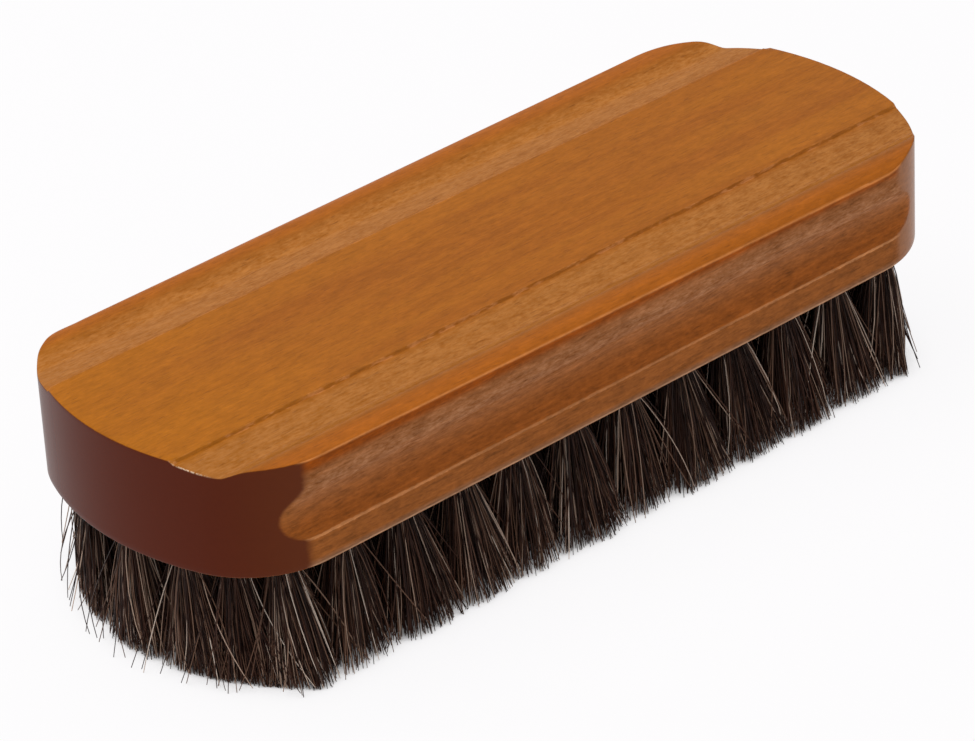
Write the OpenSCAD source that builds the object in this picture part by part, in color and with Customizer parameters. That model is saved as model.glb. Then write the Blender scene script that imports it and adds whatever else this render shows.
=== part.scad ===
// Shoe shine brush. A lacquered hardwood block is bored from below, and each bore holds a
// horsehair tuft, folded double over a flat steel anchor. The origin is in the middle of the
// trimmed bristle tips, +X runs along the block and +Z up through it. Lengths are millimetres.

/* [Block] */
// Length of the block over its two bowed ends
block_l = 170; // [150:1:190]
// Width of the block over its straight sides
block_w = 63.2; // [58:0.2:68]
// Height of the block from its underside to the flat panel on top
block_h = 20.4; // [19:0.1:26]
// Radius of the block's four corners, seen from above
corner_r = 19; // [14:0.5:24]
// How far the middle of each end stands out past the ends of the sides, before rounding
end_bow = 10.5; // [8:0.1:14]

/* [Thumb grooves] */
// Width of the flat panel between the two grooves
panel_w = 32.6; // [28:0.2:35]
// Drop at the panel's edge, where a groove starts
panel_step = 0.5; // [0.3:0.1:0.9]
// Depth of a groove below the panel
groove_depth = 1.5; // [1.3:0.1:2.2]
// Radius along the bottom of a groove
groove_r = 2.3; // [1.8:0.1:3]
// Steepest angle of a groove's outer wall
groove_wall_a = 27; // [24:1:32]
// Radius of the rolled rim outside each groove
rim_r = 4.5; // [3.5:0.1:6]
// Width of the flat along the crest of the rim
rim_flat = 1.2; // [0.8:0.1:2]
// Drop from the panel to the crest of the rim
rim_sink = 0.1; // [0.05:0.05:0.3]
// Drop from the crest of the rim to the sharp lip at the side
lip_drop = 0.8; // [0.5:0.05:1.2]

/* [Finger coves] */
// Depth of the cove along each side
cove_depth = 1.6; // [1:0.1:2.5]
// Height above the underside where the cove starts to sink in
cove_top = 15.8; // [14:0.1:17]
// Height above the underside of the deepest line of the cove
cove_low = 9.9; // [9:0.1:11]
// Height of the plain flange under the cove
flange_h = 5.7; // [4:0.1:7]

/* [Bores] */
// Diameter of each blind bore
bore_d = 4.8; // [4:0.1:5.4]
// Depth of a bore's straight wall
bore_depth = 10; // [8:0.5:13]
// Included angle of the drill point that ends each bore
drill_a = 118; // [90:1:140]
// Distance between neighbouring bores along a row
bore_pitch = 12.2; // [11:0.1:14]
// Distance from the sides to the centres of the outer rows
side_margin = 6.7; // [6:0.1:9]
// Least distance from the block's outline to the centre of a bore
end_margin = 5.6; // [5:0.1:8]

/* [Bristles] */
// Free length of the bristles, from the block to the trimmed tips
bristle_l = 23; // [16:0.5:30]
// Outward lean of the tufts in the two outer rows
side_lean = 6; // [0:0.5:12]
// Outward lean of the tufts at the two ends
end_lean = 3.7; // [0:0.1:8]
// Waist of a tuft where it leaves its bore
waist_d = 4.1; // [3.4:0.1:4.5]
// Space left between the tips of neighbouring tufts
tip_gap = 0.3; // [0.2:0.1:1]
// Clearance between a packed tuft and the wall of its bore
tuft_clear = 0.05; // [0.02:0.01:0.1]

/* [Anchors] */
// Width of the flat anchor wire, which stands upright in the bore
wire_w = 1.8; // [1.2:0.1:2.4]
// Thickness of the anchor wire
wire_t = 0.35; // [0.25:0.05:0.5]
// How far each end of an anchor bites into the wood
bite = 0.35; // [0.2:0.05:0.5]
// Thickness of the folded hair between an anchor and the top of its tuft
fold_t = 1.2; // [0.8:0.1:2]
// Clearance all round an anchor in the wood and in the hair
wire_clear = 0.03; // [0.01:0.01:0.05]

/* [Hidden] */
$fn = 48;

// Rows are counted outwards from the middle one, so row 0 is on the centre line
ROWS_PER_SIDE = 4;
// Widest turn between two points of a drawn arc
ARC_STEP = 3;
// Margin by which a cutter runs past the face that it opens
PAST = 1;
// How far a flare reaches up into its packed tuft
EMBED = 1.5;

WOOD = [0.69, 0.41, 0.18];
HAIR = [0.13, 0.1, 0.09];
STEEL = [0.72, 0.73, 0.75];

// Plan of the block: a bowed end is one large arc, blended into each side by a corner arc
half_l = block_l / 2;
half_w = block_w / 2;
bow_r = (half_w * half_w + end_bow * end_bow) / (2 * end_bow);
bow_x = half_l - bow_r;
corner_y = half_w - corner_r;
corner_x = bow_x + sqrt(pow(bow_r - corner_r, 2) - pow(corner_y, 2));
blend_a = atan2(corner_y, corner_x - bow_x);

// Section of the block, as circle centres and the angles at which their arcs meet
rim_top = block_h - rim_sink;
lip_a = acos(1 - lip_drop / rim_r);
rim_out_y = half_w - rim_r * sin(lip_a);
rim_in_y = rim_out_y - rim_flat;
rim_z = rim_top - rim_r;
wall_rise = groove_depth - rim_sink;
wall_a = min(groove_wall_a, acos(1 - wall_rise / (rim_r + groove_r)));
wall_run = (wall_rise - (rim_r + groove_r) * (1 - cos(wall_a))) / tan(wall_a);
groove_y = rim_in_y - (rim_r + groove_r) * sin(wall_a) - wall_run;
groove_z = block_h - groove_depth + groove_r;
shoulder_y = panel_w / 2;
shoulder_z = block_h - panel_step;
slope_d = norm([groove_y - shoulder_y, groove_z - shoulder_z]);
slope_a = asin(groove_r / slope_d) - atan2(groove_z - shoulder_z, groove_y - shoulder_y);
cove_r = (pow(cove_depth, 2) + pow(cove_low - flange_h, 2)) / (2 * cove_depth);
cove_foot_a = atan2(cove_low - flange_h, cove_r - cove_depth);
cove_head_a = 2 * atan2(cove_depth, cove_top - cove_low);
cove_head_r = (cove_top - cove_low) / sin(cove_head_a) - cove_r;

// Bores, tufts and anchors
bore_r = bore_d / 2;
tuft_r = bore_r - tuft_clear;
point_h = bore_r / tan(drill_a / 2);
outer_row_y = half_w - side_margin;
row_pitch = outer_row_y / ROWS_PER_SIDE;
end_reach = half_l - end_margin;
spread_x = 1 + bristle_l * tan(end_lean) / end_reach;
spread_y = 1 + bristle_l * tan(side_lean) / outer_row_y;
tip_r = (nearest() * min(spread_x, spread_y) - tip_gap) / 2;
wire_l = bore_d + 2 * bite;
wire_z = bore_depth - fold_t - wire_w;

// Points of an arc about [x, y], from angle a to angle b
function arc(x, y, r, a, b) =
    let (n = max(2, ceil(abs(b - a) / ARC_STEP)))
    [for (i = [0:n]) let (t = a + (b - a) * i / n) [x + r * cos(t), y + r * sin(t)]];

// Outline of the +X end, from the -Y side round to the +Y side
function end_outline() = concat(
    arc(corner_x, -corner_y, corner_r, -90, -blend_a),
    arc(bow_x, 0, bow_r, -blend_a, blend_a),
    arc(corner_x, corner_y, corner_r, blend_a, 90)
);

// Section of the +Y half from the middle of the top to the middle of the underside
function half_section() = concat(
    [[0, block_h], [shoulder_y, block_h], [shoulder_y, shoulder_z]],
    arc(groove_y, groove_z, groove_r, -90 - slope_a, -90 + wall_a),
    arc(rim_in_y, rim_z, rim_r, 90 + wall_a, 90),
    arc(rim_out_y, rim_z, rim_r, 90, 90 - lip_a),
    arc(half_w - cove_head_r, cove_top, cove_head_r, 0, -cove_head_a),
    arc(half_w - cove_depth + cove_r, cove_low, cove_r, 180 - cove_head_a, 180 + cove_foot_a),
    [[half_w, 0], [0, 0]]
);

// A half section's points mirrored into the -Y half, in running order
function mirrored(points) = [for (i = [len(points) - 1:-1:0]) [-points[i][0], points[i][1]]];

// How far a row at distance y from the centre line may reach towards the ends
function reach(y) =
    abs(y) <= (bow_r - end_margin) * sin(blend_a)
    ? bow_x + sqrt(pow(bow_r - end_margin, 2) - y * y)
    : corner_x + sqrt(max(0, pow(corner_r - end_margin, 2) - pow(abs(y) - corner_y, 2)));

// Even rows straddle the middle and end at their reach, odd rows have a tuft in the middle
function is_even(row) = abs(row) % 2 == 0;
function row_count(row) =
    let (n = reach(row * row_pitch) / bore_pitch)
    is_even(row) ? 2 * round(n + 0.5) : 2 * floor(n) + 1;
function row_step(row) =
    is_even(row) ? 2 * reach(row * row_pitch) / (row_count(row) - 1) : bore_pitch;

// Places of one row's bores
function row_places(row) =
    let (n = row_count(row), step = row_step(row))
    [for (i = [0:n - 1]) [(i - (n - 1) / 2) * step, row * row_pitch]];

// Least distance between a bore and its neighbours in the same row and in the next
function nearest() = min([
    for (row = [0:ROWS_PER_SIDE - 1], a = row_places(row), b = row_places(row + 1)) norm(a - b),
    for (row = [0:ROWS_PER_SIDE]) row_step(row)
]);

// Blank of the block's section, run along its length
module section_bar() {
    rotate([90, 0, 90])
        linear_extrude(height = block_l + 2 * PAST, center = true)
            polygon(concat(half_section(), mirrored(half_section())));
}

// Blank of the block's plan, run up through its height
module plan_bar() {
    translate([0, 0, -PAST])
        linear_extrude(height = block_h + 2 * PAST)
            polygon(concat(end_outline(), [for (p = end_outline()) -p]));
}

// One blind bore with its drill point and the two notches that its anchor cuts
module bore() {
    translate([0, 0, -PAST])
        cylinder(h = bore_depth + PAST, r = bore_r);
    translate([0, 0, bore_depth])
        cylinder(h = point_h, r1 = bore_r, r2 = 0);
    anchor(wire_clear);
}

// One anchor, standing across the grain, or its slot when it is grown by a clearance
module anchor(grow = 0) {
    translate([0, 0, wire_z + wire_w / 2])
        cube([wire_t + 2 * grow, wire_l + 2 * grow, wire_w + 2 * grow], center = true);
}

// The packed part of a tuft: it fills the bore and is folded round the anchor's slot
module tuft_root() {
    difference() {
        union() {
            cylinder(h = bore_depth - tuft_clear, r = tuft_r);
            translate([0, 0, bore_depth - tuft_clear])
                cylinder(h = point_h - tuft_clear, r1 = tuft_r, r2 = 0);
        }
        anchor(wire_clear);
    }
}

// The free part of a tuft: it flares from the bore at place to its spread tip, trimmed level
module tuft_flare(place) {
    shift = [place[0] * (spread_x - 1), place[1] * (spread_y - 1)];
    lean = atan2(norm(shift), bristle_l);
    flare_l = bristle_l / cos(lean);
    growth = (tip_r - waist_d / 2) / flare_l;
    spare = PAST + tip_r * tan(lean);
    difference() {
        translate([place[0], place[1], bristle_l])
            rotate(a = lean, v = [shift[1], -shift[0], 0])
                translate([0, 0, -flare_l - spare])
                    cylinder(
                        h = flare_l + spare + EMBED,
                        r1 = tip_r + growth * spare,
                        r2 = waist_d / 2 - growth * EMBED
                    );
        translate([0, 0, -2 * spare])
            cube([2 * block_l, 2 * block_w, 4 * spare], center = true);
    }
}

module handle_block() {
    color(WOOD)
        translate([0, 0, bristle_l])
            difference() {
                intersection() {
                    section_bar();
                    plan_bar();
                }
                for (row = [-ROWS_PER_SIDE:ROWS_PER_SIDE], place = row_places(row))
                    translate(place)
                        bore();
            }
}

module tuft_row(row) {
    color(HAIR)
        for (place = row_places(row)) {
            tuft_flare(place);
            translate([place[0], place[1], bristle_l])
                tuft_root();
        }
}

module anchor_row(row) {
    color(STEEL)
        for (place = row_places(row))
            translate([place[0], place[1], bristle_l])
                anchor();
}

handle_block();
for (i = [1:2 * ROWS_PER_SIDE + 1]) {
    tuft_row(i - ROWS_PER_SIDE - 1);
    anchor_row(i - ROWS_PER_SIDE - 1);
}
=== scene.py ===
"""Looks of a shoe shine brush: a lacquered block, a bed of horsehair and a plain studio round them."""

import logging
import math
from dataclasses import dataclass, field
from enum import Enum

import bpy
import numpy as np
from mathutils import Matrix, Vector


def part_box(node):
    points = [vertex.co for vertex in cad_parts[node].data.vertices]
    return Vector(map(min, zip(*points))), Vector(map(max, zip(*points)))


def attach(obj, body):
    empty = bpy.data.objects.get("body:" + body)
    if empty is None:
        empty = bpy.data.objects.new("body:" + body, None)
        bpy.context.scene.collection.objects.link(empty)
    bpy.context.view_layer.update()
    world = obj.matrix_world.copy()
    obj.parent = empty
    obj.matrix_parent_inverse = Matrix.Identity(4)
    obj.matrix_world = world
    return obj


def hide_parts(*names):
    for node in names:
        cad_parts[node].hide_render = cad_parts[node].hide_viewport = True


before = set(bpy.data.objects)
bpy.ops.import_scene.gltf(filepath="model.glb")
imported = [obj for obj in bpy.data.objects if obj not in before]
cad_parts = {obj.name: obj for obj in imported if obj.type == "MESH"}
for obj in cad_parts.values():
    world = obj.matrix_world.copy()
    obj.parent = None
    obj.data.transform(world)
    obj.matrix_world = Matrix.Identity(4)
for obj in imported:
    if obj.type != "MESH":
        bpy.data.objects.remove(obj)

LOG = logging.getLogger("shoe_shine_brush")
MM = 0.001
BAKE_MAP = "OFBake"
Colour = tuple[float, float, float, float]
Span = tuple[float, float]
Band = tuple[float, float]


def srgb(red: int, green: int, blue: int) -> Colour:
    """Turns a screen colour into a linear one.

    Args:
        red: its red, up to 255.
        green: its green, up to 255.
        blue: its blue, up to 255.

    Returns:
        The linear colour, with nothing let through.
    """
    def linear(level: int) -> float:
        """Takes the usual screen curve off one number."""
        share = level / 255
        return share / 12.92 if share <= 0.04045 else ((share + 0.055) / 1.055) ** 2.4
    return (linear(red), linear(green), linear(blue), 1.0)


class Slot(Enum):
    """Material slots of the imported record, which the materials are named after."""

    WOOD = "lacquered_wood"
    HAIR = "horsehair"
    STEEL = "steel_wire"


class Reading:
    """A value that a node gives, which can stand in sums: each sum adds its Math node."""

    def __init__(self, sheet: "Sheet", node: bpy.types.Node, socket: bpy.types.NodeSocket) -> None:
        """Wraps one output of a node.

        Args:
            sheet: the sheet that the node is on.
            node: the node.
            socket: the output.
        """
        self.sheet = sheet
        self.node = node
        self.socket = socket

    def port(self, name: str) -> "Reading":
        """Returns another output of the same node."""
        found = next(s for s in self.node.outputs if s.name == name and s.enabled)
        return Reading(self.sheet, self.node, found)

    def __add__(self, other: "Term") -> "Reading":
        """Returns self plus other."""
        return self.sheet.math("ADD", self, other)

    __radd__ = __add__

    def __sub__(self, other: "Term") -> "Reading":
        """Returns self minus other."""
        return self.sheet.math("SUBTRACT", self, other)

    def __rsub__(self, other: "Term") -> "Reading":
        """Returns other minus self."""
        return self.sheet.math("SUBTRACT", other, self)

    def __mul__(self, other: "Term") -> "Reading":
        """Returns self times other."""
        return self.sheet.math("MULTIPLY", self, other)

    __rmul__ = __mul__

    def __truediv__(self, other: "Term") -> "Reading":
        """Returns self over other."""
        return self.sheet.math("DIVIDE", self, other)

    def __rtruediv__(self, other: "Term") -> "Reading":
        """Returns other over self."""
        return self.sheet.math("DIVIDE", other, self)

    def __pow__(self, other: "Term") -> "Reading":
        """Returns self to the power of other."""
        return self.sheet.math("POWER", self, other)

    def __mod__(self, other: "Term") -> "Reading":
        """Returns what is left of self after whole lots of other."""
        return self.sheet.math("FLOORED_MODULO", self, other)

    def __neg__(self) -> "Reading":
        """Returns minus self."""
        return self.sheet.math("MULTIPLY", self, -1.0)

    def __abs__(self) -> "Reading":
        """Returns self without its sign."""
        return self.sheet.math("ABSOLUTE", self)

    def clamp(self) -> "Reading":
        """Returns self held between 0 and 1."""
        return self.sheet.add("ShaderNodeClamp", {}, {"Value": self})

    def rise(self, start: float, end: float, low: float = 0.0, high: float = 1.0) -> "Reading":
        """Turns smoothly from low at start to high at end.

        Args:
            start: the value of self where the turn begins.
            end: the value of self where it is done; it may lie below start.
            low: the result before the turn.
            high: the result after it.

        Returns:
            The turned value.
        """
        if start > end:
            start, end, low, high = end, start, high, low
        settings = {"interpolation_type": "SMOOTHSTEP"}
        limits = {"From Min": start, "From Max": end, "To Min": low, "To Max": high}
        return self.sheet.add("ShaderNodeMapRange", settings, {"Value": self, **limits})

    def band(self, middle: "Term", reach: float) -> "Reading":
        """Returns 1 where self is at middle, falling smoothly to 0 at reach from it."""
        return abs(self - middle).rise(reach, 0.0)

    def swing(self, amount: float) -> "Reading":
        """Returns how far a pattern lies above its middle, 0.5, times an amount."""
        return (self - 0.5) * amount


Term = Reading | float


class Sheet:
    """A node tree being laid out, for a material, a world or a geometry."""

    def __init__(self, tree: bpy.types.NodeTree) -> None:
        """Takes a tree and clears what is on it."""
        self.tree = tree
        tree.nodes.clear()

    def add(
        self,
        kind: str,
        settings: dict[str, object] | None = None,
        values: dict[str | int, object] | None = None,
    ) -> Reading:
        """Adds a node: its settings are set first, then its sockets are given values or links.

        Args:
            kind: the node's type.
            settings: properties of the node, or stops, a ramp's list of (place, colour).
            values: a number, colour or Reading for each socket, by its name or its place.

        Returns:
            The node's first output in use.
        """
        node = self.tree.nodes.new(kind)
        for name, setting in (settings or {}).items():
            if name == "stops":
                self._set_stops(node, setting)
            else:
                setattr(node, name, setting)
        for key, value in (values or {}).items():
            if isinstance(key, int):
                socket = node.inputs[key]
            else:
                socket = next(s for s in node.inputs if s.name == key and s.enabled)
            if isinstance(value, Reading):
                self.tree.links.new(value.socket, socket)
            else:
                socket.default_value = value
        first = next((s for s in node.outputs if s.enabled), None)
        return Reading(self, node, first)

    @staticmethod
    def _set_stops(node: bpy.types.Node, stops: list[tuple[float, Colour]]) -> None:
        """Gives a ramp its stops.

        Args:
            node: the ramp.
            stops: each stop's place, from 0 to 1, and its colour, in order.
        """
        elements = node.color_ramp.elements
        while len(elements) < len(stops):
            elements.new(1.0)
        for element, (place, colour) in zip(elements, stops):
            element.position = place
            element.color = colour

    def math(self, operation: str, *terms: Term) -> Reading:
        """Adds a Math node for an operation on one to three terms."""
        values = dict(enumerate(terms))
        return self.add("ShaderNodeMath", {"operation": operation}, values)

    def mix(self, share: Term, under: "Reading | Colour", over: "Reading | Colour") -> Reading:
        """Returns the colour under, covered by the colour over as far as share says."""
        settings = {"data_type": "RGBA", "clamp_factor": True}
        return self.add("ShaderNodeMix", settings, {"Factor": share, "A": under, "B": over})

    def shade(self, colour: Reading, factor: Term) -> Reading:
        """Returns a colour made lighter or darker by a factor."""
        settings = {"operation": "SCALE"}
        return self.add("ShaderNodeVectorMath", settings, {"Vector": colour, "Scale": factor})

    def stretch(self, place: Reading, x: float, y: float, z: float) -> Reading:
        """Returns a place with each of its three coordinates scaled."""
        settings = {"operation": "MULTIPLY"}
        return self.add("ShaderNodeVectorMath", settings, {0: place, 1: (x, y, z)})

    def noise(self, place: Reading, detail: float = 2.0, roughness: float = 0.5) -> Reading:
        """Returns noise about 0.5 whose lumps are one unit of place apart."""
        values = {"Vector": place, "Scale": 1.0, "Detail": detail, "Roughness": roughness}
        return self.add("ShaderNodeTexNoise", {}, values)

    def ramp(self, value: Reading, stops: list[tuple[float, Colour]]) -> Reading:
        """Returns the colour of a ramp at a value from 0 to 1."""
        return self.add("ShaderNodeValToRGB", {"stops": stops}, {"Fac": value})


def surface_sheet(name: str) -> tuple[bpy.types.Material, Sheet]:
    """Makes a material that uses nodes.

    Args:
        name: the material's name.

    Returns:
        The material and its empty sheet.
    """
    material = bpy.data.materials.new(name)
    material.use_nodes = True
    return material, Sheet(material.node_tree)


@dataclass(frozen=True)
class BlockSize:
    """The block's sizes in millimetres, with heights above its underside and tilts as slopes."""

    length: float
    width: float
    height: float
    corner_r: float = 19.0
    end_bow: float = 10.5
    panel_w: float = 32.6
    panel_step: float = 0.5
    step_run: float = 0.06
    groove_depth: float = 1.5
    groove_r: float = 2.3
    groove_wall: float = 27.0
    rim_r: float = 4.5
    rim_flat: float = 1.2
    rim_sink: float = 0.1
    lip_drop: float = 0.8
    lip_tilt: float = 0.0094
    cove_depth: float = 1.6
    cove_top: float = 15.8
    cove_low: float = 9.9
    flange_h: float = 5.7
    flange_tilt: float = 0.0045

    @staticmethod
    def of_node(node: str) -> "BlockSize":
        """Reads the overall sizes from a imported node's box.

        Args:
            node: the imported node.

        Returns:
            The block's sizes, all but the overall ones as they are given here.
        """
        low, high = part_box(node)
        size = (high - low) / MM
        return BlockSize(length=size.x, width=size.y, height=size.z)


def arc(x: float, y: float, radius: float, start: float, end: float, steps: int = 10) -> np.ndarray:
    """Returns points of an arc about a centre, from one angle to another, in degrees."""
    turn = np.radians(np.linspace(start, end, steps + 1))
    return np.stack([x + radius * np.cos(turn), y + radius * np.sin(turn)], 1)


class BlockForm:
    """The block's outline from above and its section, as heights and depths at any place.

    OVERRUN is how far the section's two lines run on past the block, and TILT_FADE is how far
    above the cove's bend the flange's tilt is still felt, both in millimetres. SAMPLES counts the
    points that an outline is read at.
    """

    OVERRUN = 1.0
    TILT_FADE = 2.0
    SAMPLES = 400

    def __init__(self, size: BlockSize) -> None:
        """Works out the outline's two arcs and the section's top and side.

        Args:
            size: the block's sizes.
        """
        self.size = size
        self.half_w = size.width / 2
        self.bow_r = (self.half_w**2 + size.end_bow**2) / (2 * size.end_bow)
        self.bow_x = size.length / 2 - self.bow_r
        self.corner_y = self.half_w - size.corner_r
        reach = (self.bow_r - size.corner_r) ** 2 - self.corner_y**2
        self.corner_x = self.bow_x + math.sqrt(reach)
        self.bow_turn = math.atan2(self.corner_y, self.corner_x - self.bow_x)
        self.top = self._top_line()
        self.side = self._side_line()

    def _top_line(self) -> np.ndarray:
        """Works out the section's top, and keeps where its rim and its groove lie.

        Returns:
            Its points from the middle outwards, as (distance, height).
        """
        s = self.size
        self.rim_y = self.half_w - s.rim_r * math.sin(math.acos(1 - s.lip_drop / s.rim_r))
        rim_in = self.rim_y - s.rim_flat
        rim_top = s.height - s.rim_sink
        rise = s.groove_depth - s.rim_sink
        radii = s.rim_r + s.groove_r
        wall = min(s.groove_wall, math.degrees(math.acos(1 - rise / radii)))
        run = (rise - radii * (1 - math.cos(math.radians(wall)))) / math.tan(math.radians(wall))
        self.groove_y = rim_in - radii * math.sin(math.radians(wall)) - run
        groove_z = s.height - s.groove_depth + s.groove_r
        edge_y = s.panel_w / 2
        edge_z = s.height - s.panel_step
        away = math.hypot(self.groove_y - edge_y, groove_z - edge_z)
        slope = math.asin(s.groove_r / away) - math.atan2(groove_z - edge_z, self.groove_y - edge_y)
        return np.concatenate([
            [[0, s.height], [edge_y - s.step_run, s.height], [edge_y, edge_z]],
            arc(self.groove_y, groove_z, s.groove_r, -90 - math.degrees(slope), -90 + wall),
            arc(rim_in, rim_top - s.rim_r, s.rim_r, 90 + wall, 90),
            [[self.rim_y, rim_top], [self.half_w + self.OVERRUN, rim_top]],
        ])

    def _side_line(self) -> np.ndarray:
        """Works out the section of a side.

        Returns:
            Its points from the foot upwards, as (height, depth inside the flange's face).
        """
        s = self.size
        rise = s.cove_low - s.flange_h
        low_r = (s.cove_depth**2 + rise**2) / (2 * s.cove_depth)
        foot = math.degrees(math.atan2(rise, low_r - s.cove_depth))
        turn = 2 * math.degrees(math.atan2(s.cove_depth, s.cove_top - s.cove_low))
        head_r = (s.cove_top - s.cove_low) / math.sin(math.radians(turn)) - low_r
        low = arc(0, s.cove_low, low_r, -foot, turn)
        high = arc(0, s.cove_top, head_r, turn, 0)
        return np.concatenate([
            [[0, 0]],
            np.stack([low[:, 1], low[:, 0] - low_r + s.cove_depth], 1),
            np.stack([s.cove_top - (high[:, 1] - s.cove_top), head_r - high[:, 0]], 1),
            [[s.height + self.OVERRUN, 0]],
        ])

    def top_z(self, x: np.ndarray, y: np.ndarray) -> np.ndarray:
        """Works out the height of the top, whose lip sinks a little along the length.

        Args:
            x: places along the block.
            y: places across it.

        Returns:
            The height at each place.
        """
        out = np.abs(y)
        past = np.clip((out - self.rim_y) / (self.half_w - self.rim_y), 0, 1)
        drop = self.size.lip_drop - self.size.lip_tilt * x * np.sign(y)
        return np.interp(out, self.top[:, 0], self.top[:, 1]) - drop * past**2

    def flange_z(self, x: np.ndarray, y: np.ndarray) -> np.ndarray:
        """Returns the height of the flange's upper arris at a place along a side."""
        return self.size.flange_h - self.size.flange_tilt * x * np.sign(y)

    def cove_in(self, x: np.ndarray, y: np.ndarray, z: np.ndarray) -> np.ndarray:
        """Works out how far the side lies inside the flange's face.

        Args:
            x: places along the block.
            y: places across it, which tell the two sides apart.
            z: heights above the underside.

        Returns:
            The depth at each place.
        """
        shift = self.flange_z(x, y) - self.size.flange_h
        fade_end = self.size.cove_low + self.TILT_FADE
        fade = np.clip((fade_end - z) / self.size.flange_h, 0, 1)
        return np.interp(z - shift * fade, self.side[:, 0], self.side[:, 1])

    def end_x(self, y: np.ndarray, inset: float = 0.0) -> np.ndarray:
        """Works out how far an end reaches.

        Args:
            y: distances from the middle line.
            inset: how far inside the outline to stay.

        Returns:
            The reach from the block's middle at each distance.
        """
        out = np.abs(y)
        bow = self.bow_x + np.sqrt(np.maximum((self.bow_r - inset) ** 2 - out**2, 0))
        corner_r = self.size.corner_r - inset
        part = np.maximum(corner_r**2 - np.clip(out - self.corner_y, 0, None) ** 2, 0)
        corner = self.corner_x + np.sqrt(part)
        return np.where(out <= (self.bow_r - inset) * math.sin(self.bow_turn), bow, corner)

    def half_y(self, x: np.ndarray) -> np.ndarray:
        """Returns how far the outline reaches sideways at a distance along the block."""
        ys = np.linspace(self.half_w, 0, self.SAMPLES)
        return np.interp(np.abs(x), self.end_x(ys), ys, left=self.half_w, right=0)


@dataclass(frozen=True)
class Unevenness:
    """Faint, smooth unevenness of a worked surface, made of a few waves.

    Args:
        height: how far it departs at most, in millimetres.
        lengths: the length of each wave, in millimetres.
        across: how many times shorter the waves are in the second direction.
        seed: what their directions and places are drawn from.
    """

    height: float
    lengths: tuple[float, ...]
    across: float
    seed: int

    def at(self, x: np.ndarray, y: np.ndarray) -> np.ndarray:
        """Works out the departure, which goes to either side.

        Args:
            x: places in the first direction, in millimetres.
            y: places in the second.

        Returns:
            The departure at each place, in millimetres.
        """
        rng = np.random.default_rng(self.seed)
        total = np.zeros_like(x, dtype=float)
        second = y * self.across
        for length in self.lengths:
            turn, shift = rng.uniform(0, math.tau, 2)
            along = x * math.cos(turn) + second * math.sin(turn)
            total += np.sin(along * math.tau / length + shift)
        return self.height * (total / len(self.lengths))


@dataclass
class MeshParts:
    """Points and faces of a mesh that is being put together."""

    points: list[np.ndarray] = field(default_factory=list)
    faces: list[list[int]] = field(default_factory=list)
    count: int = 0

    def add_points(self, points: np.ndarray) -> np.ndarray:
        """Adds points.

        Args:
            points: their places, in millimetres.

        Returns:
            Their numbers in the mesh.
        """
        first = self.count
        self.points.append(points)
        self.count += len(points)
        return np.arange(first, self.count)

    def add_band(self, inner: np.ndarray, outer: np.ndarray) -> None:
        """Joins two closed rings of as many points by a band of quads."""
        after_in, after_out = np.roll(inner, -1), np.roll(outer, -1)
        self.faces.extend(np.stack([inner, outer, after_out, after_in], 1).tolist())

    def build(self, name: str) -> bpy.types.Object:
        """Makes an object of the points, in metres, with smooth faces.

        Args:
            name: the object's name.

        Returns:
            The object, linked to the scene.
        """
        mesh = bpy.data.meshes.new(name)
        mesh.from_pydata((np.concatenate(self.points) * MM).tolist(), [], self.faces)
        mesh.polygons.foreach_set("use_smooth", [True] * len(mesh.polygons))
        mesh.update()
        made = bpy.data.objects.new(name, mesh)
        bpy.context.scene.collection.objects.link(made)
        return made


def plain_mesh(source: bpy.types.Object, name: str) -> bpy.types.Object:
    """Turns an object with its modifiers into a plain mesh object at the origin.

    Args:
        source: the object whose evaluated shape is wanted; it is removed.
        name: the new object's name.

    Returns:
        The new object, linked to the scene.
    """
    graph = bpy.context.evaluated_depsgraph_get()
    mesh = bpy.data.meshes.new_from_object(source.evaluated_get(graph))
    data = source.data
    bpy.data.objects.remove(source)
    if data.users == 0:
        bpy.data.meshes.remove(data)
    mesh.name = name
    made = bpy.data.objects.new(name, mesh)
    bpy.context.scene.collection.objects.link(made)
    return made


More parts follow.
